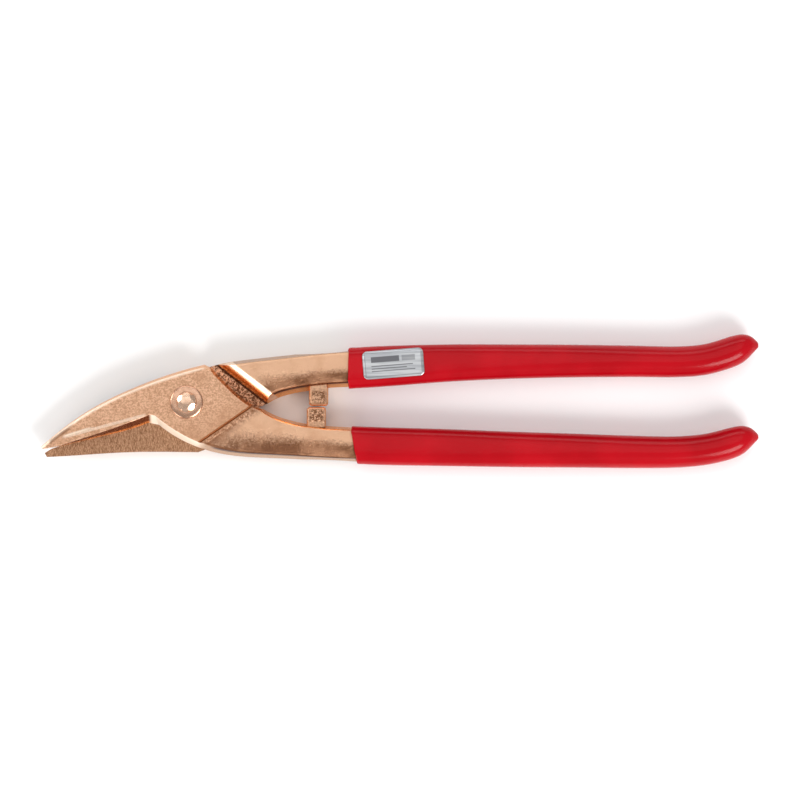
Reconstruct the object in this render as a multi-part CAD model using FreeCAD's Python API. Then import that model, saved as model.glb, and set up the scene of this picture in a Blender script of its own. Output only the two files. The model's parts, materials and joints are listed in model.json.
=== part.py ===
import FreeCAD, Part
import math
import os
from FreeCAD import Vector

# Single-pivot tin snips of the ideal pattern, cast in non-sparking bronze.  All sizes in millimetres.
# The tool lies on its back: X runs from the jaws (-X) to the handles (+X), Z points up through the
# pivot, and the origin is on the pivot axis in the plane the tool rests on.
# Two levers cross in a half-lap at the pivot.  The front lever carries the upper jaw and the lower arm,
# the rear lever the lower jaw and the upper arm.

# overall sizes
jaw_reach = 57.0            # pivot to the jaws' points, along X
grip_start = 63.4           # pivot to the mouths of the grips
grip_length = 160.0         # mouth of a grip to its far end

# half-lap joint
plate_thickness = 5.5       # each lever's plate at the joint
lap_gap = 0.1               # play between the two sliding faces
head_height = 1.0           # rear rivet head, proud of the rear plate
shear_height = head_height + plate_thickness
arm_rise = 0.6              # an arm stands this much above its plate, on each face
arm_half = plate_thickness + arm_rise
arm_half_grip = 5.4         # half thickness of an arm where it enters its grip
arm_crown = 1.2             # fall of an arm's rounded face from its middle to its edges
arm_edge_radius = 1.2       # rounding where that face meets the walls
face_edge_radius = 0.3      # rounding round the ground face of a plate
step_run = 2.0              # slope from a plate's ground face up to its arm
groove_width = 0.9          # groove at the foot of that slope
groove_depth = 0.3
shoulder_run = 4.4          # rounded shoulder beside the lap, from its foot to its top
shoulder_bow = 0.7          # how far it bulges

# jaws
jaw_point_thickness = 2.0
taper_share = 0.42          # share of the jaws' reach where their faces start to taper

# rivet and its washer
shank_diameter = 9.0
running_clearance = 0.05    # radial, shank to front lever
rear_head_diameter = 13.6
sink_depth = 1.6            # countersunk part of the rear head, inside the rear plate
tenon_diameter = 6.6        # end of the rivet that is peened over the washer
dome_diameter = 7.9
dome_height = 1.9
dome_rim = 0.35             # straight rim at the foot of the dome
head_round = 0.5            # broken edge of the rear head
washer_diameter = 12.9
washer_thickness = 1.1
washer_edge = 0.5           # chamfer round its top
washer_lift = 0.05          # play between the washer and the front lever

# closing stops
stop_gap = 0.5              # between the two stops when the jaws' points meet
stop_middle = -1.75         # Y midway between the stops
stop_at = 51.0              # X of their middles
stop_stagger = 0.45         # each stop stands this much off that middle
stop_width = 7.5
stop_half = 3.7             # half thickness
stop_corner = 1.2
lower_stop_root = -11.0     # Y inside the lower arm
upper_stop_root = 8.0       # Y inside the upper arm

# grips
coat_thickness = 1.0
grip_corner = 4.6           # rounding along a grip
end_round = 3.4             # rounding at its far end
nib_length = 2.4            # drip left by dipping, at the far end
nib_root = 1.0              # part of the nib inside the grip
nib_radius = 2.3
nib_tip_radius = 0.6
arm_into_grip = 5.0         # an arm's full section ends this far inside its grip
tang_share = 0.9            # share of a grip's length that its tang fills

# label on the upper grip
label_length = 23.8
label_width = 11.0
label_corner = 1.9
label_thickness = 0.2
label_turn = 4.5            # degrees
label_setback = 17.2        # grip mouth to the label's middle, along X
label_middle = 15.0         # its middle in Y

far = 90.0                  # reach of cutting bodies, past every edge they cross
blank_half = arm_half + 0.5 # half thickness of a lever's blank, before its faces are cut


# Outlines.  An outline runs counter-clockwise as a list of stretches.  A stretch is the wall's lean at
# its start and at its end, measured at the height of the plate's face, and the points its foot passes
# through.

def jaw(share, y):
    return (-jaw_reach * share, y)


def arm(share, y):
    return (grip_start * share, y)


arm_end = (grip_start + arm_into_grip) / grip_start


def front_outline():
    throat = (-15.0, -8.1)
    fork = (29.6, -2.6)
    return [
        (0.3, 0.3, [jaw(1.0, -17.5), jaw(0.99, -18.5)]),
        (0.3, 2.9, [jaw(0.99, -18.5), jaw(0.87, -17.2), jaw(0.64, -14.1), jaw(0.42, -11.1), throat]),
        (3.4, 2.2, [throat, (-10.9, -8.9)]),
        (2.2, 1.5, [(-10.9, -8.9), (-3.9, -13.8), (5.0, -17.9), arm(0.25, -20.6), arm(0.54, -21.9),
                    arm(0.97, -23.1), arm(arm_end, -23.2)]),
        (0.3, 0.3, [arm(arm_end, -23.2), arm(arm_end, -10.1)]),
        (1.2, 1.2, [arm(arm_end, -10.1), arm(0.95, -9.7), arm(0.72, -8.3), arm(0.58, -6.1), fork]),
        (1.0, 1.0, [fork, (22.6, 0.8), (15.8, 6.8), (11.4, 11.2)]),
        (1.0, 1.0, [(11.4, 11.2), (10.0, 13.1)]),
        (1.0, 1.0, [(10.0, 13.1), (6.8, 14.6)]),
        (1.0, 0.3, [(6.8, 14.6), (-4.9, 11.4), jaw(0.42, 4.2), jaw(0.66, -2.8), jaw(0.86, -10.8),
                    jaw(1.0, -17.5)]),
    ]


def rear_outline():
    throat = (-12.6, -6.4)
    fork = (30.4, -1.6)
    return [
        (0.8, 0.9, [jaw(0.96, -21.5), jaw(0.72, -20.7), jaw(0.40, -19.6), jaw(0.05, -19.5), (4.4, -19.6)]),
        (0.9, 0.9, [(4.4, -19.6), (6.9, -18.7)]),
        (0.9, 0.9, [(6.9, -18.7), (17.5, -10.6), fork]),
        (2.4, 2.4, [fork, arm(0.54, 1.0), arm(0.63, 3.0), arm(0.74, 4.3), arm(0.95, 5.6),
                    arm(arm_end, 5.9)]),
        (0.3, 0.3, [arm(arm_end, 5.9), arm(arm_end, 20.3)]),
        (1.2, 1.2, [arm(arm_end, 20.3), arm(0.97, 20.2), arm(0.73, 19.0), arm(0.47, 17.2), (13.3, 14.9),
                    (8.4, 13.6)]),
        (1.2, 1.2, [(8.4, 13.6), (-1.0, 11.4), (-9.6, 5.6), throat]),
        (2.9, 0.3, [throat, jaw(0.55, -12.0), jaw(0.80, -15.9), jaw(0.93, -18.3)]),
        (0.3, 0.3, [jaw(0.93, -18.3), jaw(0.975, -19.9)]),
        (0.3, 0.3, [jaw(0.975, -19.9), jaw(0.96, -21.5)]),
    ]


def smooth_edge(points, z):
    """A straight edge through two points, or one smooth edge through more."""
    at = [Vector(x, y, z) for x, y in points]
    if len(at) == 2:
        return Part.makeLine(at[0], at[1])
    curve = Part.BSplineCurve()
    curve.interpolate(Points=at)
    return curve.toShape()


def outline_wire(outline, z):
    return Part.Wire([smooth_edge(points, z) for _, _, points in outline])


def leaned_corner(before, corner, after, lean_in, lean_out):
    """Where the walls before and after a corner meet, once each has moved in by its own lean."""
    u = (Vector(*corner, 0) - Vector(*before, 0)).normalize()
    v = (Vector(*after, 0) - Vector(*corner, 0)).normalize()
    p = Vector(*corner, 0) + Vector(-u.y, u.x, 0) * lean_in
    q = Vector(*corner, 0) + Vector(-v.y, v.x, 0) * lean_out
    turn = u.x * v.y - u.y * v.x
    gap = q - p
    reach = (gap.x * v.y - gap.y * v.x) / turn if abs(turn) > 0.2 else 0.0
    moved = p + u * reach if reach else (p + q) * 0.5
    return (moved.x, moved.y)


def leaned_outline(outline, height):
    """The outline at a height above the sliding face, each wall moved in by its lean."""
    corners = []
    leans = []
    for start, end, points in outline:
        steps = len(points) - 1
        for i in range(steps):
            share = i / (steps - 1) if steps > 1 else 0.0
            corners.append(points[i])
            leans.append((start + (end - start) * share) * height / plate_thickness)
    count = len(corners)
    moved = []
    for i in range(count):
        after = corners[(i + 1) % count]
        moved.append(leaned_corner(corners[i - 1], corners[i], after, leans[i - 1], leans[i]))
    result = []
    first = 0
    for start, end, points in outline:
        last = first + len(points) - 1
        result.append((start, end, [moved[i % count] for i in range(first, last + 1)]))
        first = last
    return result


def drafted_half(outline, side):
    """Half of a lever, from its sliding face out past its outer face; side is 1 above, -1 below."""
    foot = outline_wire(outline, 0.0)
    top = outline_wire(leaned_outline(outline, blank_half), side * blank_half)
    return Part.makeLoft([foot, top], True, True)


# Levers.  A lever is built with its sliding face at Z = 0 and its plate above.

def swept_cutter(start, end, profile):
    """A straight body along a line; its profile is in (distance to the line's left, height)."""
    along = Vector(end[0] - start[0], end[1] - start[1], 0).normalize()
    left = Vector(-along.y, along.x, 0)
    base = Vector(start[0], start[1], 0) - along * far
    wire = profile(lambda u, z: base + left * u + Vector(0, 0, z))
    return Part.Face(wire).extrude(along * (2 * far))


def shoulder_profile(place):
    """Clears the other lever's plate: flat floor, then the rounded shoulder up to the arm's face."""
    floor = lap_gap / 2
    long = math.hypot(shoulder_run, arm_half)
    bulge = (shoulder_run / 2 - shoulder_bow * arm_half / long,
             -arm_half / 2 - shoulder_bow * shoulder_run / long)
    foot = place(0, floor)
    top = place(shoulder_run, -arm_half)
    rise = Part.Arc(foot, place(*bulge), top).toShape()
    around = [top, place(shoulder_run, -far), place(-far, -far), place(-far, floor), foot]
    return Part.Wire([rise] + Part.makePolygon(around).Edges)


def face_profile(place):
    """Takes the plate down to its ground face, with a groove and a slope at the foot of the arm."""
    corners = [(-far, plate_thickness), (-groove_width / 2, plate_thickness),
               (0, plate_thickness - groove_depth), (groove_width / 2, plate_thickness),
               (step_run, arm_half), (step_run, far), (-far, far), (-far, plate_thickness)]
    return Part.makePolygon([place(u, z) for u, z in corners])


def jaw_taper():
    """Thins the jaw towards its point."""
    start = -jaw_reach * taper_share
    beyond = -jaw_reach - 5.0
    corners = [(start, plate_thickness), (-jaw_reach, jaw_point_thickness), (beyond, jaw_point_thickness),
               (beyond, far), (start, far), (start, plate_thickness)]
    wire = Part.makePolygon([Vector(x, -far, z) for x, z in corners])
    return Part.Face(wire).extrude(Vector(0, 2 * far, 0))


def crown_section(x, low, high, half, fall):
    """Section of a crowned arm, whose faces fall from their middle to their edges."""
    middle = (low + high) / 2
    edge = half - fall
    over = Part.Arc(Vector(x, low, edge), Vector(x, middle, half), Vector(x, high, edge)).toShape()
    side = Part.makeLine(Vector(x, high, edge), Vector(x, high, -edge))
    under = Part.Arc(Vector(x, high, -edge), Vector(x, middle, -half), Vector(x, low, -edge)).toShape()
    back = Part.makeLine(Vector(x, low, -edge), Vector(x, low, edge))
    return Part.Wire([over, side, under, back])


def crown_trim(sections, step):
    """What stands outside an arm's crowned faces, clear of the plate's ground face."""
    start = sections[0][0]
    end = sections[-1][0]
    crown = Part.makeLoft([crown_section(*section) for section in sections], True, False, False, 3)
    around = Part.makeBox(end - start, 2 * far, 2 * far, Vector(start, -far, -far)).cut(crown)
    plate_side = swept_cutter(*step, lambda place: Part.makePolygon(
        [place(u, z) for u, z in ((0, 0), (0, far), (-far, far), (-far, 0), (0, 0))]))
    return around.cut(plate_side)


def stop_block(x, face, root):
    """A closing stop, from its face back into the arm."""
    low, high = min(face, root), max(face, root)
    corner = Vector(x - stop_width / 2, low, -stop_half)
    block = Part.makeBox(stop_width, high - low, 2 * stop_half, corner)
    return block.makeFillet(stop_corner, block.Edges)


def middle_of(edge):
    return edge.valueAt((edge.FirstParameter + edge.LastParameter) / 2)


def arm_edges(body):
    """The long edges where an arm's crowned faces meet its walls."""
    found = []
    for edge in body.Edges:
        at = middle_of(edge)
        beside_crown = plate_thickness / 2 < abs(at.z) < arm_half - 0.1
        if beside_crown and at.x > 0.4 * grip_start and edge.Length > 0.4 * grip_start:
            found.append(edge)
    return found


def plate_edges(body):
    """The edges round the ground face of a plate and its jaw, except the straight ones across it."""
    found = []
    for edge in body.Edges:
        at = [vertex.Point for vertex in edge.Vertexes] + [middle_of(edge)]
        on_plate = all(abs(p.z - plate_thickness) < 0.01 for p in at)
        on_jaw = min(p.z for p in at) > 0.9 * jaw_point_thickness and at[-1].x < -jaw_reach * taper_share
        if isinstance(edge.Curve, Part.BSplineCurve) and (on_plate or on_jaw and edge.Length > 5.0):
            found.append(edge)
    return found


def lever(outline, step, shoulder, sections, stop, tang):
    body = drafted_half(outline, 1).fuse(drafted_half(outline, -1))
    body = body.cut(crown_trim(sections, step)).removeSplitter()
    body = body.makeFillet(arm_edge_radius, arm_edges(body))
    body = body.cut(swept_cutter(*shoulder, shoulder_profile))
    body = body.cut(swept_cutter(*step, face_profile))
    body = body.cut(jaw_taper()).removeSplitter()
    body = body.makeFillet(face_edge_radius, plate_edges(body))
    return body.fuse([stop, tang]).removeSplitter()


# Grips.  A station across a grip is its share of the grip's length, its middle in Y and its width.

upper_stations = [(-0.03, 12.9, 16.2), (0.08, 13.9, 16.0), (0.24, 15.2, 14.7), (0.40, 15.8, 13.5),
                  (0.56, 16.0, 12.8), (0.70, 15.9, 12.3), (0.80, 15.7, 12.1), (0.87, 16.6, 12.2),
                  (0.93, 19.4, 12.6), (0.985, 22.2, 12.2)]
lower_stations = [(-0.03, -16.5, 14.8), (0.08, -17.2, 14.8), (0.24, -17.8, 14.5), (0.40, -18.5, 13.9),
                  (0.56, -19.0, 13.3), (0.70, -19.5, 12.7), (0.80, -19.5, 12.3), (0.87, -18.5, 12.3),
                  (0.93, -16.2, 12.6), (0.985, -13.6, 12.0)]


def grip_section(station, grow):
    """Rounded section across a grip, grown by a margin all round."""
    share, middle, width = station
    x = grip_start + grip_length * share
    half_y = width / 2 + grow
    half_z = shear_height + grow
    r = grip_corner + grow
    k = r * math.sqrt(0.5)
    arcs = []
    for ny, nz in ((1, 1), (-1, 1), (-1, -1), (1, -1)):
        cy = middle + ny * (half_y - r)
        cz = nz * (half_z - r)
        ends = [Vector(x, cy + ny * r, cz), Vector(x, cy, cz + nz * r)]
        if ny * nz < 0:
            ends.reverse()
        arcs.append(Part.Arc(ends[0], Vector(x, cy + ny * k, cz + nz * k), ends[1]).toShape())
    loop = []
    for i in range(4):
        loop.append(arcs[i])
        after = arcs[(i + 1) % 4]
        loop.append(Part.makeLine(arcs[i].Vertexes[-1].Point, after.Vertexes[0].Point))
    return Part.Wire(loop)


def grip_loft(stations, grow):
    return Part.makeLoft([grip_section(station, grow) for station in stations], True, False, False, 3)


def tang_body(stations):
    """The bare end of a lever inside its grip, everywhere the coat's thickness below the surface."""
    share = 0.5 * arm_into_grip / grip_length
    first = (share, (stations[0][1] + stations[1][1]) / 2, stations[1][2])
    inside = [station for station in stations[1:] if station[0] < tang_share]
    return grip_loft([first] + inside, -coat_thickness)


def grip(stations, mouth, inside):
    """A dipped sleeve: rounded far end with a nib, cut at its mouth, hollow where the lever fills it."""
    body = grip_loft(stations, 0.0)
    share, middle, _ = stations[-1]
    end = grip_start + grip_length * share
    rim = [edge for edge in body.Edges if min(v.X for v in edge.Vertexes) > end - 0.01]
    body = body.makeFillet(end_round, rim)
    root = Vector(end - nib_root, middle, 0)
    nib = Part.makeCone(nib_radius, nib_tip_radius, nib_root + nib_length, root, Vector(1, 0, 0))
    before = swept_cutter(*mouth, lambda place: Part.makePolygon(
        [place(u, z) for u, z in ((0, -far), (far, -far), (far, far), (0, far), (0, -far))]))
    return body.fuse(nib).cut(before).cut(inside).removeSplitter()


def label_sheet(stations):
    """Foil label lying on the front of the upper grip."""
    half_x, half_y = label_length / 2, label_width / 2
    blank = Part.makeBox(label_length, label_width, far, Vector(-half_x, -half_y, 0))
    upright = [edge for edge in blank.Edges if abs(edge.tangentAt(edge.FirstParameter).z) > 0.9]
    blank = blank.makeFillet(label_corner, upright)
    blank.rotate(Vector(0, 0, 0), Vector(0, 0, 1), label_turn)
    blank.translate(Vector(grip_start + label_setback, label_middle, 0))
    return grip_loft(stations, label_thickness).common(blank).cut(grip_loft(stations, 0.0))


# Rivet and washer

def turned(points):
    """A body turned about the pivot from its half section in (radius, height)."""
    at = [Vector(r, 0, z) for r, z in points]
    return Part.Face(Part.makePolygon(at + [at[0]])).revolve(Vector(0, 0, 0), Vector(0, 0, 1), 360)


washer_floor = shear_height + plate_thickness + washer_lift
washer_top = washer_floor + washer_thickness


def running_bore():
    """The front lever's bore, in which it turns on the shank."""
    return Part.makeCylinder(shank_diameter / 2 + running_clearance, 2 * far, Vector(0, 0, -far))


def rear_seat():
    """What the rivet fills in the rear lever: the shank's bore and the countersink of its head."""
    shank = shank_diameter / 2
    head = rear_head_diameter / 2
    return turned([(0, 0), (head, 0), (head, head_height), (shank, head_height + sink_depth),
                   (shank, far), (0, far)])


def rivet():
    shank = shank_diameter / 2
    tenon = tenon_diameter / 2
    head = rear_head_diameter / 2
    dome = dome_diameter / 2
    foot = Vector(dome, 0, washer_top + dome_rim)
    apex = Vector(0, 0, washer_top + dome_height)
    section = [(0, 0), (head - head_round, 0), (head, head_round), (head, head_height),
               (shank, head_height + sink_depth), (shank, washer_floor), (tenon, washer_floor),
               (tenon, washer_top), (dome, washer_top)]
    around = Part.makePolygon([apex] + [Vector(r, 0, z) for r, z in section] + [foot])
    cap = dome_height - dome_rim
    ball = (dome ** 2 + cap ** 2) / (2 * cap)
    half = math.asin(dome / ball) / 2
    between = apex + Vector(ball * math.sin(half), 0, -ball * (1 - math.cos(half)))
    over = Part.Arc(foot, between, apex).toShape()
    return Part.Face(Part.Wire(around.Edges + [over])).revolve(Vector(0, 0, 0), Vector(0, 0, 1), 360)


def washer():
    inner = tenon_diameter / 2
    outer = washer_diameter / 2
    return turned([(inner, washer_floor), (outer, washer_floor), (outer, washer_top - washer_edge),
                   (outer - washer_edge, washer_top), (inner, washer_top)])


# Assembly

# lines across the levers, with the arm on their left
front_step = ((25.0, -1.8), (4.6, -15.9))
rear_step = ((4.6, 15.6), (25.0, 0.2))
front_shoulder = ((13.4, 13.2), (30.6, -0.2))
rear_shoulder = ((30.4, -2.3), (7.3, -20.5))

# lines across the grips' mouths, with the jaws on their left
upper_mouth = ((grip_start - 0.3, 0.0), (grip_start - 0.3, 25.0))
lower_mouth = ((grip_start + 3.0, -24.0), (grip_start + 0.5, -9.0))

# each section of an arm's crown: X, lowest and highest Y, half thickness, fall to the edges
neck = 0.63 * grip_start
crown_end = grip_start + arm_into_grip + 0.5
lower_arm_crown = [
    (0.0, -27.0, 5.0, arm_half, arm_crown / 2),
    (neck, -22.5, -5.0, arm_half, arm_crown),
    (crown_end, -23.5, -9.8, arm_half_grip, arm_crown),
]
upper_arm_crown = [
    (0.0, -22.0, 24.0, arm_half, arm_crown / 2),
    (neck, 2.5, 18.6, arm_half, arm_crown),
    (crown_end, 5.6, 20.6, arm_half_grip, arm_crown),
]

lower_stop = stop_block(stop_at - stop_stagger, stop_middle - stop_gap / 2, lower_stop_root)
upper_stop = stop_block(stop_at + stop_stagger, stop_middle + stop_gap / 2, upper_stop_root)

front_lever = lever(front_outline(), front_step, rear_shoulder, lower_arm_crown, lower_stop,
                    tang_body(lower_stations))
rear_lever = lever(rear_outline(), rear_step, front_shoulder, upper_arm_crown, upper_stop,
                   tang_body(upper_stations))
rear_lever = rear_lever.mirror(Vector(0, 0, 0), Vector(0, 0, 1))
nodes = {
    "front_lever": front_lever,
    "rear_lever": rear_lever,
    "upper_grip": grip(upper_stations, upper_mouth, rear_lever),
    "lower_grip": grip(lower_stations, lower_mouth, front_lever),
    "label": label_sheet(upper_stations),
}
for shape in nodes.values():
    shape.translate(Vector(0, 0, shear_height))
nodes["front_lever"] = nodes["front_lever"].cut(running_bore())
nodes["rear_lever"] = nodes["rear_lever"].cut(rear_seat())
nodes["pivot_rivet"] = rivet()
nodes["washer"] = washer()

os.makedirs("parts", exist_ok=True)
for name, shape in nodes.items():
    shape.exportStep("parts/" + name + ".step")
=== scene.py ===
import json
import math

import bmesh
import bpy
from mathutils import Matrix, Vector


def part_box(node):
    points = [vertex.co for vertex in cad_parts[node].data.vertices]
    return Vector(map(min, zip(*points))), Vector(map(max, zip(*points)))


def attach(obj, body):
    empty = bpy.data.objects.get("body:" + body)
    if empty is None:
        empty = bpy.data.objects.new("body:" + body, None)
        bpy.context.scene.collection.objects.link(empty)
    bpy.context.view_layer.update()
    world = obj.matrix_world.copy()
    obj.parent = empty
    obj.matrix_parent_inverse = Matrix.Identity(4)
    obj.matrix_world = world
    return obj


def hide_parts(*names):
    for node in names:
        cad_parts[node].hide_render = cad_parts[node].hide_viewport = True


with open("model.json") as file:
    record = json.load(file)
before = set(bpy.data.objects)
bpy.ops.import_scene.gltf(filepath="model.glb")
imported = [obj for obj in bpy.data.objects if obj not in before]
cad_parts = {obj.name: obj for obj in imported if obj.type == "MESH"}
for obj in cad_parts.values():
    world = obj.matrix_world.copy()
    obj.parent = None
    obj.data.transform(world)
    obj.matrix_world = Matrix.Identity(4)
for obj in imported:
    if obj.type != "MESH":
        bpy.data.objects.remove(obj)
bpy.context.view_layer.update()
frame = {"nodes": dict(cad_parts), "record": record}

mm = 0.001
shear = frame["record"]["behaviour"]["joints"][0]["pos_m"][2] / mm    # height of the sliding faces, mm


class Value:
    # a socket that can be used in ordinary arithmetic
    def __init__(self, graph, socket):
        self.graph = graph
        self.socket = socket

    def math(self, operation, *values):
        return self.graph.node("ShaderNodeMath", {"operation": operation}, values)

    def __add__(self, other):
        return self.math("ADD", self, other)

    def __radd__(self, other):
        return self.math("ADD", other, self)

    def __sub__(self, other):
        return self.math("SUBTRACT", self, other)

    def __rsub__(self, other):
        return self.math("SUBTRACT", other, self)

    def __mul__(self, other):
        return self.math("MULTIPLY", self, other)

    def __rmul__(self, other):
        return self.math("MULTIPLY", other, self)

    def __truediv__(self, other):
        return self.math("DIVIDE", self, other)

    def size(self):
        return self.math("ABSOLUTE", self)

    def most(self, other):
        return self.math("MAXIMUM", self, other)

    def ramp(self, low, high):
        # 0 at low, 1 at high, smooth in between; low may be the larger
        limits = {"Value": self, "From Min": low, "From Max": high, "To Min": 0.0, "To Max": 1.0}
        return self.graph.node("ShaderNodeMapRange", {"interpolation_type": "SMOOTHSTEP"}, limits)


class Graph:
    def __init__(self, name):
        self.material = bpy.data.materials.new(name)
        self.material.use_nodes = True
        self.tree = self.material.node_tree
        self.tree.nodes.clear()

    def node(self, kind, settings=None, values=(), output=0):
        made = self.tree.nodes.new(kind)
        for name, setting in (settings or {}).items():
            setattr(made, name, setting)
        pairs = values.items() if isinstance(values, dict) else enumerate(values)
        for key, value in pairs:
            if isinstance(value, Value):
                self.tree.links.new(value.socket, made.inputs[key])
            else:
                made.inputs[key].default_value = value
        return Value(self, made.outputs[output]) if len(made.outputs) else None

    def parts(self, vector):
        split = self.node("ShaderNodeSeparateXYZ", {}, (vector,)).socket.node
        return [Value(self, split.outputs[i]) for i in range(3)]

    def place(self):
        # object coordinates in millimetres
        raw = self.node("ShaderNodeTexCoord", output="Object")
        return self.node("ShaderNodeVectorMath", {"operation": "SCALE"}, {0: raw, "Scale": 1.0 / mm})

    def stretch(self, at, x, y, z):
        return self.node("ShaderNodeVectorMath", {"operation": "MULTIPLY"}, {0: at, 1: (x, y, z)})

    def turned(self, at, degrees, scale):
        rotation = (0, 0, math.radians(degrees))
        return self.node("ShaderNodeMapping", {}, {"Vector": at, "Rotation": rotation, "Scale": scale})

    def noise(self, at, scale, detail=3.0, rough=0.55, twist=0.0):
        return self.node("ShaderNodeTexNoise", {}, {"Vector": at, "Scale": scale, "Detail": detail,
                                                    "Roughness": rough, "Distortion": twist})

    def mix(self, factor, first, second):
        return self.node("ShaderNodeMix", {"data_type": "RGBA"}, {0: factor, 6: first, 7: second}, output=2)

    def bump(self, height, strength):
        # height is in millimetres
        return self.node("ShaderNodeBump", {}, {"Height": height * mm, "Strength": strength, "Distance": 1.0})

    def finish(self, values):
        shader = self.node("ShaderNodeBsdfPrincipled", {}, values)
        self.node("ShaderNodeOutputMaterial", {}, (shader,))
        return self.material


def color(red, green, blue):
    return (red, green, blue, 1.0)


bronze = {
    "face": color(0.80, 0.485, 0.315),         # ground faces
    "faceDark": color(0.53, 0.28, 0.16),
    "jaw": color(0.53, 0.295, 0.17),           # the sliding face, seen on the lower jaw
    "jawDark": color(0.22, 0.105, 0.055),
    "cast": color(0.70, 0.42, 0.265),          # skin left by the mould
    # the dark tone of the cast skin below, also used as painted shade on its sides facing -Y and for a
    # painted shade line at the blade's point
    "castDarkAndShade": color(0.18, 0.078, 0.04),
    "deep": color(0.10, 0.035, 0.015),         # painted shade in corners and grooves: along the arms' edges and the shoulder's foot
    "bevelTopAndStepShade": color(0.17, 0.055, 0.02),         # dark top of the cutting bevel, also the painted shade in and beside the step's crease
    "orangeReflection": color(0.93, 0.45, 0.17),         # painted orange reflection of the neighbouring bronze on polished walls
    # the cream below is a painted highlight: on the blade's rounded top edge, the notch, the bevel's point,
    # the point's facets and the shoulder
    "creamHighlight": color(1.0, 0.84, 0.68),
    "tan": color(0.50, 0.29, 0.17),            # outer walls of the arms
    # lines across a lever, as x, y, x, y in mm
    "frontStep": (4.6, -15.9, 25.0, -1.8),     # from the front plate's ground face to its arm
    "rearStep": (25.0, 0.2, 4.6, 15.6),
    "shoulderFoot": (13.4, 13.2, 30.6, -0.2),  # foot of the rear lever's shoulder
    "slope": 2.0,                              # width of the slope up to an arm
    "brushTurn": 24.0,                         # direction of the grinding marks, degrees
    "stops": {True: (50.55, -5.0), False: (51.45, 1.9)},   # middles of the front and the rear lever's stop
    # stretches along X over which one finish or painted highlight fades into the next, mm
    "bevelFrom": (-13.2, -15.0),
    "bevelPoint": (-44.0, -53.0),
    "notch": ((-15.0, -13.4), (8.0, 4.0)),
    "satinNotch": ((-15.2, -14.0), (9.0, 3.0)),
    "armFrom": (8.0, 12.0),
    "jawTo": (8.0, 4.0),
    "bladeTo": (9.0, 6.0),
    # the blade's top edge, rounded off by hand: its Y as powers of X, its slope, width and depth
    "bladeTop": (12.67, 0.2977, -0.001164, 0.0000491),
    "bladeSlope": 1.16,
    "bladeRound": 2.1,
    "bladeDepth": 0.45,
    # painted highlights and a painted shade line along the facets at the blade's point: line, half width,
    # fade in and out along X, color, strength
    "pointFacetLights": [
        ((-48.0, -13.3, -36.0, -9.6), (0.55, 0.15), (-49.0, -46.5), (-35.5, -40.0), "creamHighlight", 0.7),
        ((-50.0, -14.2, -17.0, -5.3), (0.75, 0.35), (-50.0, -46.0), (-15.5, -17.0), "creamHighlight", 0.45),
        ((-54.0, -16.0, -45.8, -10.1), (0.9, 0.4), (-54.5, -52.5), (-44.0, -47.0), "castDarkAndShade", 0.6),
    ],
}


def beside(x, y, line):
    # distance to the right of a line, mm
    x0, y0, x1, y1 = line
    long = math.hypot(x1 - x0, y1 - y0)
    return (x - x0) * ((y1 - y0) / long) - (y - y0) * ((x1 - x0) / long)


def surfaces(g, line):
    # where each kind of surface lies on a lever
    at = g.place()
    x, y, z = g.parts(at)
    facing = g.parts(g.node("ShaderNodeNewGeometry", output="Normal"))
    up = facing[2].size()
    past = beside(x, y, line)
    return {
        "at": at, "x": x, "y": y, "z": z, "up": up, "past": past,
        "facingY": facing[1],
        "height": (z - shear).size(),
        "wall": up.ramp(0.80, 0.55),
        "arm": past.ramp(0.0, bronze["slope"]),
        "sliding": (z - shear).size().ramp(0.4, 0.25) * up.ramp(0.9, 0.98),
    }


def bronzeGrain(g, at, brushDegrees):
    return {
        "grain": g.noise(at, 1.35, 5.0, 0.72),
        "coarse": g.noise(at, 0.62, 4.0, 0.70),
        "fine": g.noise(at, 4.6, 3.0, 0.6),
        "patch": g.noise(at, 0.13, 3.0, 0.55),
        "pebble": g.noise(g.stretch(at, 1.0, 1.0, 0.6), 0.95, 4.0, 0.75, 0.6),
        "brush": g.noise(g.turned(at, brushDegrees, (0.30, 3.2, 1.0)), 1.0, 4.0, 0.65),
        "hair": g.noise(g.turned(at, 8.0, (4.6, 0.95, 1.0)), 1.0, 5.0, 0.75),
        "lumps": g.noise(at, 1.15, 3.0, 0.7, 0.8),
        "pits": g.noise(at, 1.3, 3.0, 0.7, 0.8).ramp(0.45, 0.57),
    }


def levelColor(g, m, n):
    # ground face and cast skin, with painted shade in the crease and on the slope where they meet, and the
    # sliding face
    speckle = n["grain"] * 0.55 + n["coarse"] * 0.2 + n["brush"] * 0.25
    face = g.mix(speckle.ramp(0.44, 0.56), bronze["faceDark"], bronze["face"])
    # the ground face is painted darker towards the step: painted shade
    face = g.mix(m["past"].ramp(-11.0, -1.0) * 0.45, face, bronze["faceDark"])
    # the cast skin is painted darker on sides facing -Y: painted shade, mixed with grain
    shade = n["grain"] * 0.5 + n["pebble"] * 0.7 + m["facingY"] * 3.8
    cast = g.mix(shade.ramp(0.26, 0.80), bronze["castDarkAndShade"], bronze["cast"])
    base = g.mix(m["arm"], face, cast)
    base = g.mix(n["patch"].ramp(0.42, 0.70) * 0.45, base, bronze["faceDark"])

    # painted shade: a dark line in the step's crease and a darker band on the slope beside it
    creaseShade = m["past"].ramp(-0.75, -0.35) * m["past"].ramp(0.85, 0.35)
    slopeShade = m["past"].ramp(0.2, 0.9) * m["past"].ramp(5.4, 1.4) * n["pebble"].ramp(0.35, 0.6) * 0.85
    onSlope = m["up"].ramp(0.55, 0.65) * m["height"].ramp(4.5, 5.0)
    base = g.mix(creaseShade.most(slopeShade) * onSlope, base, bronze["bevelTopAndStepShade"])

    marks = g.mix(n["hair"].ramp(0.42, 0.58), bronze["jawDark"], bronze["jaw"])
    return g.mix(m["sliding"], base, marks)


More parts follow.
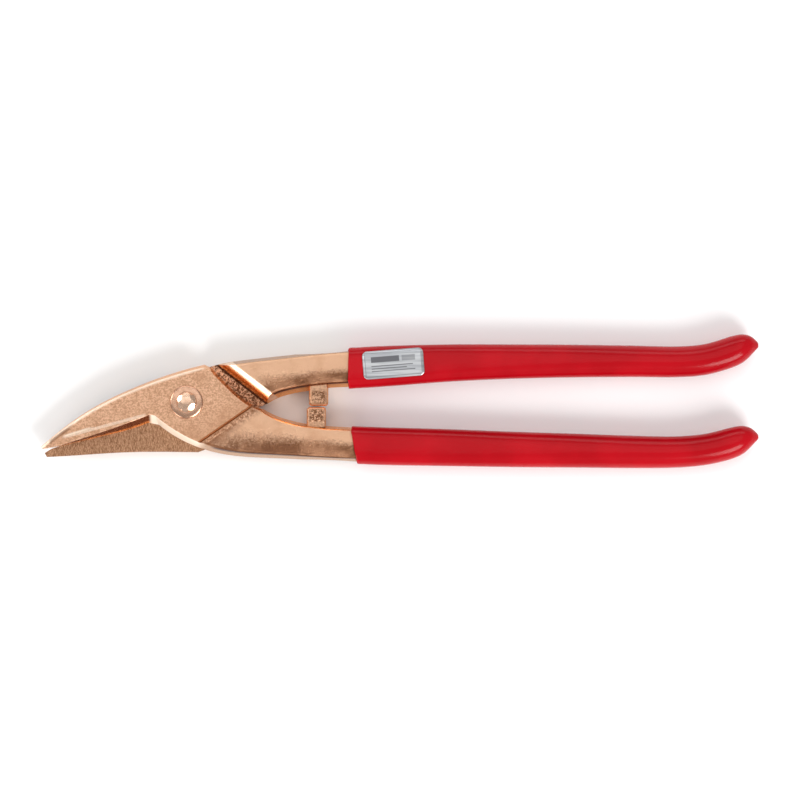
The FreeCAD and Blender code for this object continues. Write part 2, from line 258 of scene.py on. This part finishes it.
def wallColor(g, m, front):
    # painted orange reflection on walls towards the other arm, tan outside, with a painted dark line of shade
    # along the arms' edges
    x, facingY = m["x"], m["facingY"]
    towardsJaw = facingY.ramp(0.0, -0.3)
    outward = facingY * (-1.0 if front else 1.0)
    base = g.mix(outward.ramp(-0.2, 0.3), bronze["orangeReflection"], bronze["tan"])
    # painted shade: a dark line along the top of the arms' walls that face the other arm
    edge = m["height"].ramp(3.2, 4.3) * towardsJaw * x.ramp(*bronze["armFrom"])
    base = g.mix(edge, base, bronze["deep"])
    if not front:
        return g.mix(x.ramp(*bronze["jawTo"]), base, bronze["jaw"])

    # the cutting bevel: painted orange reflection low down, darker towards its top, and a painted highlight
    # towards its point
    bevel = g.mix(m["height"].ramp(0.5, 1.9), bronze["orangeReflection"], bronze["bevelTopAndStepShade"])
    bevel = g.mix(x.ramp(*bronze["bevelPoint"]), bevel, bronze["creamHighlight"])
    base = g.mix(x.ramp(*bronze["bevelFrom"]) * towardsJaw, base, bevel)
    # a painted highlight along the notch
    fadeIn, fadeOut = bronze["notch"]
    return g.mix(x.ramp(*fadeIn) * x.ramp(*fadeOut) * towardsJaw, base, bronze["creamHighlight"])


def bladeRoundingAndHighlights(g, m, base, relief):
    # the front lever's rounded top edge with a painted highlight along it, and painted highlights and a
    # painted shade line on the facets at its point
    x, y = m["x"], m["y"]
    c0, c1, c2, c3 = bronze["bladeTop"]
    edge = ((x * c3 + c2) * x + c1) * x + c0
    inward = ((edge - y) / bronze["bladeSlope"]).most(0.0)
    away = (1.0 - inward / bronze["bladeRound"]).most(0.0)
    onBlade = x.ramp(*bronze["bladeTo"]) * m["height"].ramp(1.6, 2.1) * m["up"].ramp(0.6, 0.8)
    relief = relief - away * away * bronze["bladeDepth"] * onBlade
    # painted highlight along the rounded top edge
    base = g.mix(away.ramp(0.05, 0.6) * onBlade * 0.75, base, bronze["creamHighlight"])
    level = m["up"].ramp(0.8, 0.9)
    for line, halfWidth, fadeIn, fadeOut, tint, strength in bronze["pointFacetLights"]:
        facetLight = beside(x, y, line).size().ramp(*halfWidth) * x.ramp(*fadeIn) * x.ramp(*fadeOut)
        base = g.mix(facetLight * level * strength, base, bronze[tint])
    return base, relief


def shoulderRubbleAndPaintedLight(g, m, n, base, relief, rough):
    # the rear lever's rough floor beside the lap, and its polished shoulder painted with orange reflection
    # and a cream highlight, with a painted shadow along its foot
    x, y = m["x"], m["y"]
    above = m["z"] - shear
    floor = m["sliding"] * x.ramp(7.5, 9.0) * y.ramp(-4.0, -3.0)
    rubble = g.mix(n["lumps"].ramp(0.44, 0.56), bronze["castDarkAndShade"], bronze["face"])
    base = g.mix(floor, base, rubble)
    relief = relief + n["lumps"] * 0.75 * floor
    rough = rough + floor * 0.12

    fromFoot = beside(x, y, bronze["shoulderFoot"])
    shoulder = fromFoot.ramp(-0.1, -0.4) * fromFoot.ramp(-4.9, -4.4) * above.ramp(0.2, 0.6)
    shoulder = shoulder * y.ramp(-3.0, -1.0) * x.ramp(*bronze["armFrom"])
    # painted reflection: orange near the foot, a cream highlight higher up
    shoulderReflection = g.mix(fromFoot.ramp(-1.3, -2.9) * 0.75, bronze["orangeReflection"], bronze["creamHighlight"])
    base = g.mix(shoulder, base, shoulderReflection)
    relief = relief * (1.0 - shoulder * 0.85)
    rough = rough - shoulder * 0.02

    # painted shadow along the shoulder's foot
    foot = fromFoot.size().ramp(0.75, 0.25) * above.ramp(1.4, 0.6) * above.ramp(-0.5, -0.2)
    base = g.mix(foot * x.ramp(9.0, 11.0), base, bronze["deep"])
    return base, relief, rough


def leverMaterial(name, line, brushDegrees, front):
    g = Graph(name)
    m = surfaces(g, line)
    n = bronzeGrain(g, m["at"], brushDegrees)
    x, y, wall, arm, sliding = m["x"], m["y"], m["wall"], m["arm"], m["sliding"]
    base = g.mix(wall, levelColor(g, m, n), wallColor(g, m, front))
    rough = 0.19 + n["grain"] * 0.20 + n["patch"] * 0.08 + sliding * 0.14 - wall * 0.06
    relief = n["grain"] * 0.16 + n["coarse"] * 0.14 + n["fine"] * 0.03
    relief = relief + n["brush"] * 0.06 * (1.0 - arm) + n["pebble"] * 0.20 * arm
    relief = relief * (1.0 - wall * 0.85) * (1.0 - sliding * 0.4) + n["hair"] * 0.13 * sliding
    if front:
        base, relief = bladeRoundingAndHighlights(g, m, base, relief)
    else:
        base, relief, rough = shoulderRubbleAndPaintedLight(g, m, n, base, relief, rough)

    # rough middles of the closing stops
    stopX, stopY = bronze["stops"][front]
    stop = (x - stopX).size().ramp(3.2, 2.2) * (y - stopY).size().ramp(2.9, 2.0) * m["up"].ramp(0.9, 0.97)
    base = g.mix(stop, base, g.mix(n["pits"], bronze["jawDark"], bronze["cast"]))
    relief = relief + stop * n["pits"] * 0.25

    metal = 1.0
    if front:
        # the drafted wall below the notch is bright and satin, not mirror-like
        fadeIn, fadeOut = bronze["satinNotch"]
        satin = wall * m["facingY"].ramp(-0.1, -0.4) * x.ramp(*fadeIn) * x.ramp(*fadeOut) * 0.7
        metal = 1.0 - satin
        rough = rough + satin * 0.2
    return g.finish({"Base Color": base, "Metallic": metal, "Roughness": rough,
                     "Normal": g.bump(relief, 1.0)})


leverFinish = {
    "front_lever": ("frontBronze", bronze["frontStep"], bronze["brushTurn"], True),
    "rear_lever": ("rearBronze", bronze["rearStep"], -bronze["brushTurn"], False),
}
for node, finish in leverFinish.items():
    frame["nodes"][node].material_slots[0].material = leverMaterial(*finish)
print("levers finished")


def pieceFrom(mesh, name, material, body, node, smooth=True):
    for face in mesh.faces:
        face.smooth = smooth
    data = bpy.data.meshes.new(name)
    mesh.to_mesh(data)
    mesh.free()
    data.materials.append(material)
    piece = bpy.data.objects.new(name, data)
    bpy.context.scene.collection.objects.link(piece)
    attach(piece, body)
    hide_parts(node)
    return piece


def turnedMesh(section, steps, ring):
    # a body turned about the pivot from (radius, height) points; a ring's section is closed
    mesh = bmesh.new()
    spots = [mesh.verts.new((radius * mm, 0.0, height * mm)) for radius, height in section]
    lines = [mesh.edges.new(pair) for pair in zip(spots, spots[1:])]
    if ring:
        lines.append(mesh.edges.new((spots[-1], spots[0])))
    bmesh.ops.spin(mesh, geom=spots + lines, cent=(0, 0, 0), axis=(0, 0, 1), angle=2 * math.pi, steps=steps,
                   use_merge=True)
    bmesh.ops.remove_doubles(mesh, verts=mesh.verts, dist=0.002 * mm)
    bmesh.ops.recalc_face_normals(mesh, faces=mesh.faces)
    return mesh


washerLow, washerHigh = [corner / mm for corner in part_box("washer")]
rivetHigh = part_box("pivot_rivet")[1] / mm

rivet = {
    "headRadius": rivetHigh.x, "headHeight": 1.0, "headRound": 0.5, "sink": 1.6, "shank": 4.5, "tenon": 3.3,
    "domeRadius": 3.95, "domeHeight": rivetHigh.z - washerHigh.z, "rim": 0.15, "soft": 0.12,
    # hammer flats on the peened end: direction round the pivot, tilt, depth below the dome
    "flats": [(215, 26, 0.20), (318, 30, 0.24), (262, 40, 0.16), (150, 33, 0.20), (95, 27, 0.16),
              (35, 34, 0.22), (0, 16, 0.05), (185, 52, 0.12), (290, 55, 0.12), (340, 58, 0.12),
              (60, 55, 0.12), (120, 56, 0.12)],
    "tint": color(0.85, 0.58, 0.42), "dark": color(0.60, 0.36, 0.23),
}


def peenedMaterial(name, tint, dark):
    g = Graph(name)
    at = g.place()
    grain = g.noise(at, 2.6, 4.0, 0.6)
    blotch = g.noise(at, 0.55, 3.0, 0.6)
    base = g.mix(blotch.ramp(0.35, 0.7) * 0.6, tint, dark)
    rough = 0.14 + grain * 0.14 + blotch * 0.10
    return g.finish({"Base Color": base, "Metallic": 1.0, "Roughness": rough,
                     "Normal": g.bump(grain * 0.016 + blotch * 0.05, 0.8)})


def rivetSection():
    r = rivet
    rim = r["rim"]
    section = [(0, 0), (3.0, 0.0), (r["headRadius"] - r["headRound"], 0.0), (r["headRadius"] - rim, rim),
               (r["headRadius"], r["headRound"]), (r["headRadius"], r["headHeight"]),
               (r["shank"], r["headHeight"] + r["sink"]), (r["shank"], washerLow.z),
               (r["tenon"], washerLow.z), (r["tenon"], washerHigh.z),
               (r["domeRadius"] - rim, washerHigh.z), (r["domeRadius"], washerHigh.z + rim)]
    for degrees in range(8, 90, 9):
        a = math.radians(degrees)
        section.append((r["domeRadius"] * math.cos(a) ** 0.9,
                        washerHigh.z + rim + (r["domeHeight"] - rim) * math.sin(a)))
    section.append((0, rivetHigh.z))
    return section


def makeRivet():
    mesh = turnedMesh(rivetSection(), 64, False)
    for direction, tilt, depth in rivet["flats"]:
        a, t = math.radians(direction), math.radians(tilt)
        normal = Vector((math.sin(t) * math.cos(a), math.sin(t) * math.sin(a), math.cos(t)))
        reach = max(normal.dot(v.co) for v in mesh.verts) - depth * mm
        bmesh.ops.bisect_plane(mesh, geom=mesh.verts[:] + mesh.edges[:] + mesh.faces[:], dist=1e-7,
                               plane_co=normal * reach, plane_no=normal, clear_outer=True)
        bmesh.ops.holes_fill(mesh, edges=[e for e in mesh.edges if e.is_boundary], sides=0)
    bmesh.ops.recalc_face_normals(mesh, faces=mesh.faces)
    material = peenedMaterial("peenedBronze", rivet["tint"], rivet["dark"])
    piece = pieceFrom(mesh, "pivotRivet", material, "rear_lever", "pivot_rivet", smooth=False)
    soft = piece.modifiers.new("soft", "BEVEL")
    soft.width = rivet["soft"] * mm
    soft.segments = 3
    soft.limit_method = "ANGLE"
    soft.angle_limit = math.radians(9)


washer = {
    "inner": rivet["tenon"], "outer": washerHigh.x, "floor": washerLow.z, "top": washerHigh.z,
    # its rounded edge: distance in from the outside, distance down from the top
    "edge": [(0.0, 0.75), (0.09, 0.52), (0.3, 0.33), (0.7, 0.18), (1.4, 0.06), (2.3, 0.0)],
    "footRound": 0.1,
    "tint": color(0.68, 0.41, 0.28), "dark": color(0.46, 0.25, 0.15),
}


def makeWasher():
    w = washer
    section = [(w["inner"], w["floor"]), (w["outer"] - w["footRound"], w["floor"]),
               (w["outer"], w["floor"] + w["footRound"])]
    section += [(w["outer"] - inward, w["top"] - down) for inward, down in w["edge"]]
    section.append((w["inner"], w["top"]))
    material = peenedMaterial("washerBronze", w["tint"], w["dark"])
    pieceFrom(turnedMesh(section, 96, True), "pivotWasher", material, "rear_lever", "washer")


makeRivet()
makeWasher()
print("joint finished")


grips = {
    "start": 63.4, "length": 160.0, "half": 6.5, "corner": 4.6, "spokes": 32,
    # the section gets rounder by so much, from one place along X to another
    "rounder": 1.35, "rounderFrom": 95.0, "rounderOver": 80.0,
    # share of the length, middle and width
    "upper": [(-0.03, 12.9, 16.2), (0.08, 13.9, 16.0), (0.24, 15.2, 14.7), (0.40, 15.8, 13.5),
              (0.56, 16.0, 12.8), (0.70, 15.9, 12.3), (0.80, 15.7, 12.1), (0.87, 16.6, 12.2),
              (0.93, 19.4, 12.6), (0.985, 22.2, 12.2)],
    "lower": [(-0.03, -16.5, 14.8), (0.08, -17.2, 14.8), (0.24, -17.8, 14.5), (0.40, -18.5, 13.9),
              (0.56, -19.0, 13.3), (0.70, -19.5, 12.7), (0.80, -19.5, 12.3), (0.87, -18.5, 12.3),
              (0.93, -16.2, 12.6), (0.985, -13.6, 12.0)],
    # from deep inside the mouth, round its lip and out: distance from the mouth, depth under the surface
    "lip": [(7.0, 1.0), (0.9, 1.0), (0.25, 0.85), (0.0, 0.5), (0.12, 0.16), (0.55, 0.0), (1.3, 0.0),
            (2.4, 0.06), (4.2, 0.05)],
    # evenly spaced rings along the sleeve
    "first": 71.0, "step": 4.0, "count": 35,
    # over the far end: X, how much of the section is left
    "end": [(211.0, 1.0), (214.0, 0.985), (216.7, 0.93), (218.6, 0.80), (220.1, 0.64), (221.3, 0.46),
            (222.2, 0.31), (222.8, 0.21), (223.2, 0.11)],
    # X of each mouth at its upper and its lower side, and its waviness: size, waves round it, phase
    "upperMouth": (62.9, 63.1), "upperWave": [(0.16, 2, 0.6), (0.12, 5, 2.0), (0.07, 9, 1.0)],
    "lowerMouth": (64.0, 66.3), "lowerWave": [(0.18, 2, 2.2), (0.14, 4, 0.4), (0.07, 9, 2.6)],
    "red": color(0.355, 0.0018, 0.0060), "redLight": color(0.415, 0.0026, 0.0080),
}


def alongGrip(stations, x):
    # middle and width of a grip at x, eased through its stations
    share = (x - grips["start"]) / grips["length"]
    last = len(stations) - 1
    i = next((k for k in range(last) if share < stations[k + 1][0]), last - 1)
    before, a, b, after = stations[max(i - 1, 0)], stations[i], stations[i + 1], stations[min(i + 2, last)]
    step = b[0] - a[0]
    t = min(max((share - a[0]) / step, 0.0), 1.0)
    result = []
    for k in (1, 2):
        m0 = (b[k] - before[k]) / (b[0] - before[0]) * step
        m1 = (after[k] - a[k]) / (after[0] - a[0]) * step
        result.append((2 * t ** 3 - 3 * t ** 2 + 1) * a[k] + (t ** 3 - 2 * t ** 2 + t) * m0
                      + (3 * t ** 2 - 2 * t ** 3) * b[k] + (t ** 3 - t ** 2) * m1)
    return result


def ringSpot(spoke, halfY, halfZ, corner):
    # a point on a rounded section, and its direction round it
    perCorner = grips["spokes"] // 4
    quarter, step = divmod(spoke, perCorner)
    a = math.radians(90 * quarter + 90 * step / (perCorner - 1))
    corner = min(corner, halfY, halfZ)
    signY, signZ = ((1, 1), (-1, 1), (-1, -1), (1, -1))[quarter]
    across = signY * (halfY - corner) + corner * math.cos(a)
    up = signZ * (halfZ - corner) + corner * math.sin(a)
    return across, up, a


def lipSpot(spoke, stations, mouth, wave, fromMouth, depth):
    # a point round a mouth, which leans and waves a little
    half, corner = grips["half"], grips["corner"]
    width = alongGrip(stations, mouth[0] + 1.0)[1]
    across, up, a = ringSpot(spoke, width / 2 - depth, half - depth, corner - depth)
    lean = mouth[0] + (mouth[1] - mouth[0]) * (0.5 - across / width)
    x = fromMouth + lean + sum(size * math.sin(count * a + phase) for size, count, phase in wave)
    middle, width = alongGrip(stations, x)
    across, up, a = ringSpot(spoke, width / 2 - depth, half - depth, corner - depth)
    return Vector((x, middle + across, shear + up))


def sleeveSpot(spoke, stations, x, share):
    # a point round the sleeve, its section shrunk to a share of its size
    middle, width = alongGrip(stations, x)
    fuller = min(max((x - grips["rounderFrom"]) / grips["rounderOver"], 0.0), 1.0)
    corner = grips["corner"] + grips["rounder"] * fuller
    across, up, a = ringSpot(spoke, width / 2 * share, grips["half"] * share, corner * share)
    return Vector((x, middle + across, shear + up))


def vinylMaterial():
    g = Graph("dippedVinyl")
    at = g.place()
    cloud = g.noise(at, 0.05, 3.0, 0.5)
    peel = g.noise(at, 0.8, 2.0, 0.5)
    sag = g.noise(g.stretch(at, 0.35, 1.0, 1.0), 0.16, 2.0, 0.5)
    base = g.mix(cloud.ramp(0.35, 0.65), grips["red"], grips["redLight"])
    rough = 0.13 + peel * 0.05 + cloud * 0.05
    return g.finish({"Base Color": base, "Roughness": rough, "Specular IOR Level": 0.14,
                     "Normal": g.bump(peel * 0.006 + sag * 0.16, 0.8)})


def makeGrip(name, which, node, body, material):
    stations, mouth, wave = grips[which], grips[which + "Mouth"], grips[which + "Wave"]
    along = [grips["first"] + grips["step"] * k for k in range(grips["count"])]
    rings = [(lipSpot, (stations, mouth, wave, *ring)) for ring in grips["lip"]]
    rings += [(sleeveSpot, (stations, x, 1.0)) for x in along]
    rings += [(sleeveSpot, (stations, *ring)) for ring in grips["end"]]

    # one ring of points is drawn out through all the others, and both its ends are closed
    mesh = bmesh.new()
    number = mesh.verts.layers.int.new("spoke")
    first = bmesh.ops.create_circle(mesh, cap_ends=False, segments=grips["spokes"], radius=1.0)["verts"]
    spot, values = rings[0]
    for i, v in enumerate(first):
        v[number] = i
        v.co = spot(i, *values) * mm
    loop = mesh.edges[:]
    bmesh.ops.edgeloop_fill(mesh, edges=loop)
    for spot, values in rings[1:]:
        made = bmesh.ops.extrude_edge_only(mesh, edges=loop)["geom"]
        loop = [e for e in made if isinstance(e, bmesh.types.BMEdge)]
        for v in made:
            if isinstance(v, bmesh.types.BMVert):
                v.co = spot(v[number], *values) * mm
    bmesh.ops.edgeloop_fill(mesh, edges=loop)
    bmesh.ops.recalc_face_normals(mesh, faces=mesh.faces)
    piece = pieceFrom(mesh, name, material, body, node)
    smooth = piece.modifiers.new("smooth", "SUBSURF")
    smooth.levels = 2
    smooth.render_levels = 2


vinyl = vinylMaterial()
makeGrip("upperSleeve", "upper", "upper_grip", "rear_lever", vinyl)
makeGrip("lowerSleeve", "lower", "lower_grip", "front_lever", vinyl)
print("grips finished")


label = {
    "length": 23.8, "width": 11.0, "corner": 1.9, "turn": 4.5, "middle": (80.6, 15.0),
    "lift": 0.17, "thick": 0.10,
    "cuts": (16, 26),       # rows of faces along it and across it, which let it bend round the grip
    # frame round the print, then plain bars: left, right, low, high, darkness
    "frameOut": (-11.1, 11.1, -4.75, 4.75), "frameIn": (-10.8, 10.8, -4.45, 4.45),
    "blocks": [(-8.6, 2.4, 0.9, 3.1, 1.0), (3.4, 8.6, 0.9, 3.1, 0.55)],
    "lines": [(-8.6, 7.6, -0.75, -0.33, 0.85), (-8.6, 5.2, -1.75, -1.33, 0.85),
              (-8.6, 8.4, -2.75, -2.33, 0.85)],
    "foil": color(0.40, 0.41, 0.43), "foilLight": color(0.58, 0.59, 0.60),
    "frame": color(0.20, 0.20, 0.21), "ink": color(0.10, 0.10, 0.11),
}


def bar(x, y, left, right, low, high, soft):
    # 1 inside a rectangle with soft edges
    return (x.ramp(left - soft, left + soft) * x.ramp(right + soft, right - soft)
            * y.ramp(low - soft, low + soft) * y.ramp(high + soft, high - soft))


def labelMaterial():
    g = Graph("labelFoil")
    u, v = g.parts(g.node("ShaderNodeUVMap", {"uv_map": "UVMap"}))[:2]
    x = (u - 0.5) * label["length"]
    y = (v - 0.5) * label["width"]
    border = bar(x, y, *label["frameOut"], 0.10) - bar(x, y, *label["frameIn"], 0.10)
    printed = bar(x, y, *label["blocks"][0][:4], 0.10)
    for *edges, dark in label["blocks"][1:]:
        printed = printed.most(bar(x, y, *edges, 0.10) * dark)
    for *edges, dark in label["lines"]:
        printed = printed.most(bar(x, y, *edges, 0.06) * dark)
    at = g.place()
    speckle = g.noise(at, 3.0, 3.0, 0.6)
    sheen = g.noise(g.stretch(at, 0.05, 0.9, 0.05), 1.0, 2.0, 0.5)
    base = g.mix(sheen.ramp(0.35, 0.65), label["foil"], label["foilLight"])
    base = g.mix(border * 0.6, base, label["frame"])
    base = g.mix(printed, base, label["ink"])
    metal = 0.85 - printed * 0.75
    rough = 0.30 + speckle * 0.12 + printed * 0.15
    return g.finish({"Base Color": base, "Metallic": metal, "Roughness": rough,
                     "Normal": g.bump(speckle * 0.004 + printed * 0.006, 0.8)})


def makeLabel():
    length, width = label["length"], label["width"]
    mesh = bmesh.new()
    bmesh.ops.create_grid(mesh, x_segments=1, y_segments=1, size=0.5)
    bmesh.ops.scale(mesh, vec=(length, width, 1.0), verts=mesh.verts)
    bmesh.ops.bevel(mesh, geom=mesh.verts[:], offset=label["corner"], offset_type="OFFSET", segments=8,
                    profile=0.5, affect="VERTICES", material=-1)
    for axis, reach, count in ((0, length, label["cuts"][0]), (1, width, label["cuts"][1])):
        normal = Vector((1 - axis, axis, 0))
        for k in range(1, count):
            bmesh.ops.bisect_plane(mesh, geom=mesh.verts[:] + mesh.edges[:] + mesh.faces[:], dist=1e-5,
                                   plane_co=normal * (reach * k / count - reach / 2), plane_no=normal)
    uv = mesh.loops.layers.uv.new("UVMap")
    for face in mesh.faces:
        for corner in face.loops:
            corner[uv].uv = (corner.vert.co.x / length + 0.5, corner.vert.co.y / width + 0.5)
    bmesh.ops.rotate(mesh, cent=(0, 0, 0), matrix=Matrix.Rotation(math.radians(label["turn"]), 3, "Z"),
                     verts=mesh.verts)
    bmesh.ops.translate(mesh, vec=(*label["middle"], 0.0), verts=mesh.verts)

    # the foil follows the grip's front and the start of its roundings
    rounding = grips["corner"]
    for v in mesh.verts:
        middle, across = alongGrip(grips["upper"], v.co.x)
        past = max(abs(v.co.y - middle) - (across / 2 - rounding), 0.0)
        drop = rounding - math.sqrt(max(rounding ** 2 - past ** 2, 0.0))
        v.co.z = shear + grips["half"] - drop + label["lift"]
    bmesh.ops.scale(mesh, vec=(mm, mm, mm), verts=mesh.verts)
    bmesh.ops.recalc_face_normals(mesh, faces=mesh.faces)
    if sum(f.normal.z for f in mesh.faces) < 0:
        bmesh.ops.reverse_faces(mesh, faces=mesh.faces)
    piece = pieceFrom(mesh, "foilLabel", labelMaterial(), "rear_lever", "label")
    sheet = piece.modifiers.new("sheet", "SOLIDIFY")
    sheet.thickness = label["thick"] * mm
    sheet.offset = -1.0


makeLabel()
print("label finished")


studio = {
    "floor": color(0.92, 0.92, 0.92), "floorLight": color(0.94, 0.94, 0.94), "floorHalf": 3.0,
    "floorMiddle": (0.08, 0.0, -0.0002), "world": 0.46, "aim": (0.08, 0.0, 0.0),
    # the camera looks straight down; what it sees is so many metres across
    "cameraHeight": 3.0, "middle": (0.0832, 0.0008), "across": 0.3124, "sensor": 36.0,
    # place, size and power of each softbox
    "softboxes": {
        "above": ((0.0, 0.72, 2.2), (3.0, 1.8), 14.5),
        "back": ((0.1, 2.0, 0.9), (2.6, 0.7), 14.0),
        "strip": ((0.90, -1.10, 1.02), (0.85, 0.85), 25.0),
        "frontLeft": ((-1.2, -1.5, 0.55), (1.0, 0.7), 11.0),
        "left": ((-1.7, 0.5, 0.9), (1.0, 0.8), 12.0),
    },
}


def floorMaterial():
    g = Graph("paleFloor")
    tone = g.noise(g.place(), 0.02, 2.0, 0.5)
    base = g.mix(tone, studio["floorLight"], studio["floor"])
    return g.finish({"Base Color": base, "Roughness": 0.85, "Specular IOR Level": 0.1})


def makeFloor():
    mesh = bmesh.new()
    bmesh.ops.create_grid(mesh, x_segments=1, y_segments=1, size=studio["floorHalf"])
    bmesh.ops.translate(mesh, vec=studio["floorMiddle"], verts=mesh.verts)
    data = bpy.data.meshes.new("floor")
    mesh.to_mesh(data)
    mesh.free()
    data.materials.append(floorMaterial())
    floor = bpy.data.objects.new("floor", data)
    bpy.context.scene.collection.objects.link(floor)


def makeLights():
    world = bpy.data.worlds.new("studio")
    world.use_nodes = True
    background = world.node_tree.nodes["Background"]
    background.inputs["Color"].default_value = color(1.0, 1.0, 1.0)
    background.inputs["Strength"].default_value = studio["world"]
    bpy.context.scene.world = world
    for name, (place, size, power) in studio["softboxes"].items():
        lamp = bpy.data.lights.new(name, "AREA")
        lamp.shape = "RECTANGLE"
        lamp.size, lamp.size_y = size
        lamp.energy = power
        holder = bpy.data.objects.new(name, lamp)
        holder.location = place
        holder.rotation_euler = (Vector(studio["aim"]) - Vector(place)).to_track_quat("-Z", "Y").to_euler()
        bpy.context.scene.collection.objects.link(holder)


def makeCamera():
    view = bpy.data.cameras.new("view")
    view.sensor_width = studio["sensor"]
    view.lens = studio["sensor"] * studio["cameraHeight"] / studio["across"]
    view.clip_end = 20.0
    camera = bpy.data.objects.new("view", view)
    camera.location = (*studio["middle"], studio["cameraHeight"] + shear * mm)
    bpy.context.scene.collection.objects.link(camera)
    bpy.context.scene.camera = camera


makeFloor()
makeLights()
makeCamera()
bpy.context.scene.view_settings.view_transform = "Standard"
print("studio finished")
